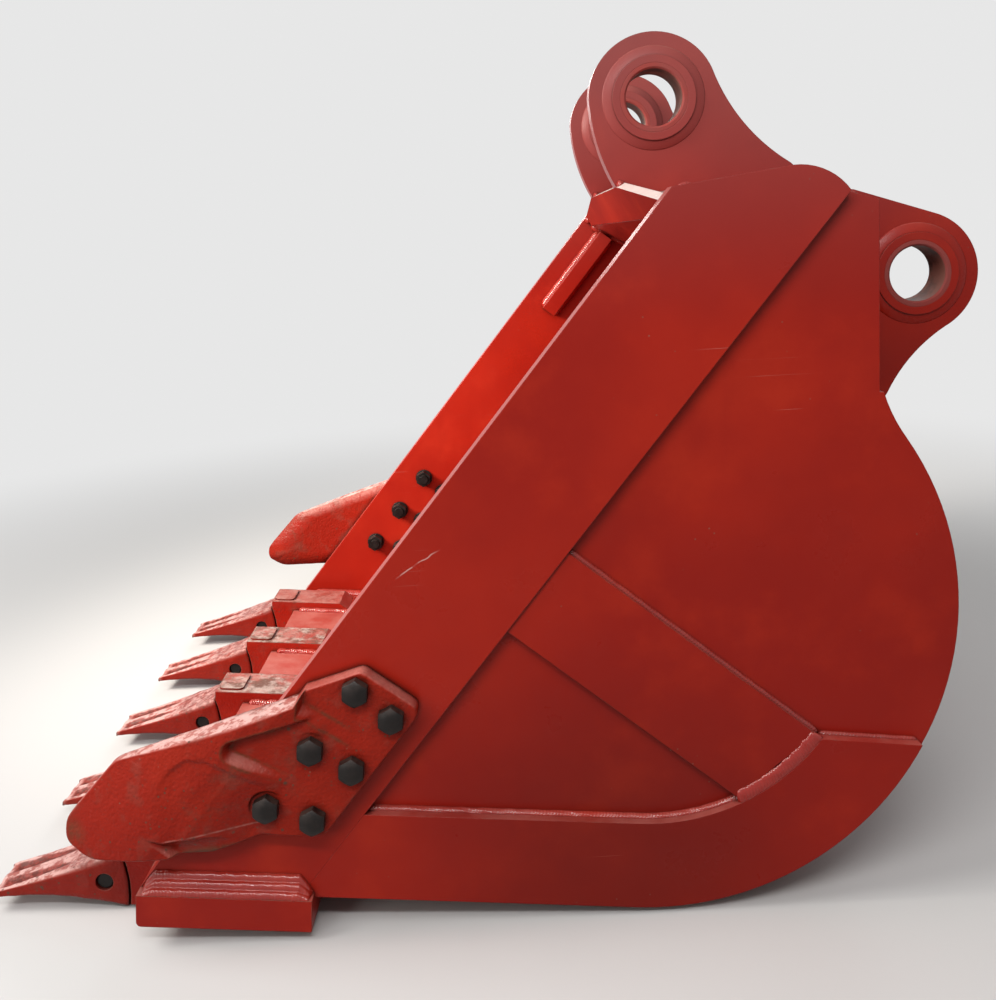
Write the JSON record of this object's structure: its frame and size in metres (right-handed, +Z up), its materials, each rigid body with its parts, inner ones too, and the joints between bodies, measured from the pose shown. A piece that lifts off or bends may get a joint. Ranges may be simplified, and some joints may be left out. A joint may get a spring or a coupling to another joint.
{
  "type": "excavator rock bucket",
  "caption": "Excavator rock bucket: welded bowl, thick side bars, wear plates, bored ears, pinned cast teeth on welded adapters, bolted side cutters.",
  "frame": {"origin": "middle of the stick pin's axis, half way between the two ears", "axes": "+X to the back of the bucket (the teeth are at -X), +Y across it to the operator's left, +Z up, with the bucket standing on its teeth and heel"},
  "size_m": [1.7432, 1.403, 1.3794],
  "materials": {
    "painted_plate": "gloss orange-red paint on steel plate",
    "painted_casting": "orange-red paint on rough cast steel, worn and grimy",
    "painted_weld": "gloss orange-red paint on weld beads",
    "painted_bush": "orange-red paint on the faces of a hardened steel bush",
    "black_steel": "black oxide steel"
  },
  "bodies": {
    "bucket": {"adapter_1": "painted_casting", "adapter_2": "painted_casting", "adapter_3": "painted_casting", "adapter_4": "painted_casting", "adapter_5": "painted_casting", "bowl_roof": "painted_plate", "corner_gusset_left": "painted_plate", "corner_gusset_right": "painted_plate", "cutter_bolts_left": "black_steel", "cutter_bolts_right": "black_steel", "cutter_nuts_left": "black_steel", "cutter_nuts_right": "black_steel", "ear_plate_left": "painted_plate", "ear_plate_right": "painted_plate", "heel_side_plate_left": "painted_plate", "heel_side_plate_right": "painted_plate", "link_boss_left": "painted_plate", "link_boss_right": "painted_plate", "link_boss_welds_left": "painted_weld", "link_boss_welds_right": "painted_weld", "link_bush_left": "painted_bush", "link_bush_right": "painted_bush", "lip": "painted_plate", "lip_weld_left": "painted_weld", "lip_weld_right": "painted_weld", "pin_retainers": "black_steel", "side_bar_left": "painted_plate", "side_bar_right": "painted_plate", "side_cutter_left": "painted_casting", "side_cutter_right": "painted_casting", "side_plate_left": "painted_plate", "side_plate_right": "painted_plate", "side_strip_left": "painted_plate", "side_strip_right": "painted_plate", "stick_boss_left": "painted_plate", "stick_boss_right": "painted_plate", "stick_boss_welds_left": "painted_weld", "stick_boss_welds_right": "painted_weld", "stick_bush_left": "painted_bush", "stick_bush_right": "painted_bush", "tooth_tip_1": "painted_casting", "tooth_tip_2": "painted_casting", "tooth_tip_3": "painted_casting", "tooth_tip_4": "painted_casting", "tooth_tip_5": "painted_casting", "tube_back_plate": "painted_plate", "tube_front_plate": "painted_plate", "tube_top_plate": "painted_plate", "wrapper": "painted_plate"},
    "pin_1": {"tooth_pin_1": "black_steel"},
    "pin_2": {"tooth_pin_2": "black_steel"},
    "pin_3": {"tooth_pin_3": "black_steel"},
    "pin_4": {"tooth_pin_4": "black_steel"},
    "pin_5": {"tooth_pin_5": "black_steel"}
  },
  "joints": [
    {"name": "pin_1_slide", "type": "slide", "parent": "bucket", "child": "pin_1", "axis": [0, -1, 0], "range_m": [0, 0.11]},
    {"name": "pin_2_slide", "type": "slide", "parent": "bucket", "child": "pin_2", "axis": [0, -1, 0], "range_m": [0, 0.11]},
    {"name": "pin_3_slide", "type": "slide", "parent": "bucket", "child": "pin_3", "axis": [0, -1, 0], "range_m": [0, 0.11]},
    {"name": "pin_4_slide", "type": "slide", "parent": "bucket", "child": "pin_4", "axis": [0, -1, 0], "range_m": [0, 0.11]},
    {"name": "pin_5_slide", "type": "slide", "parent": "bucket", "child": "pin_5", "axis": [0, -1, 0], "range_m": [0, 0.11]}
  ]
}
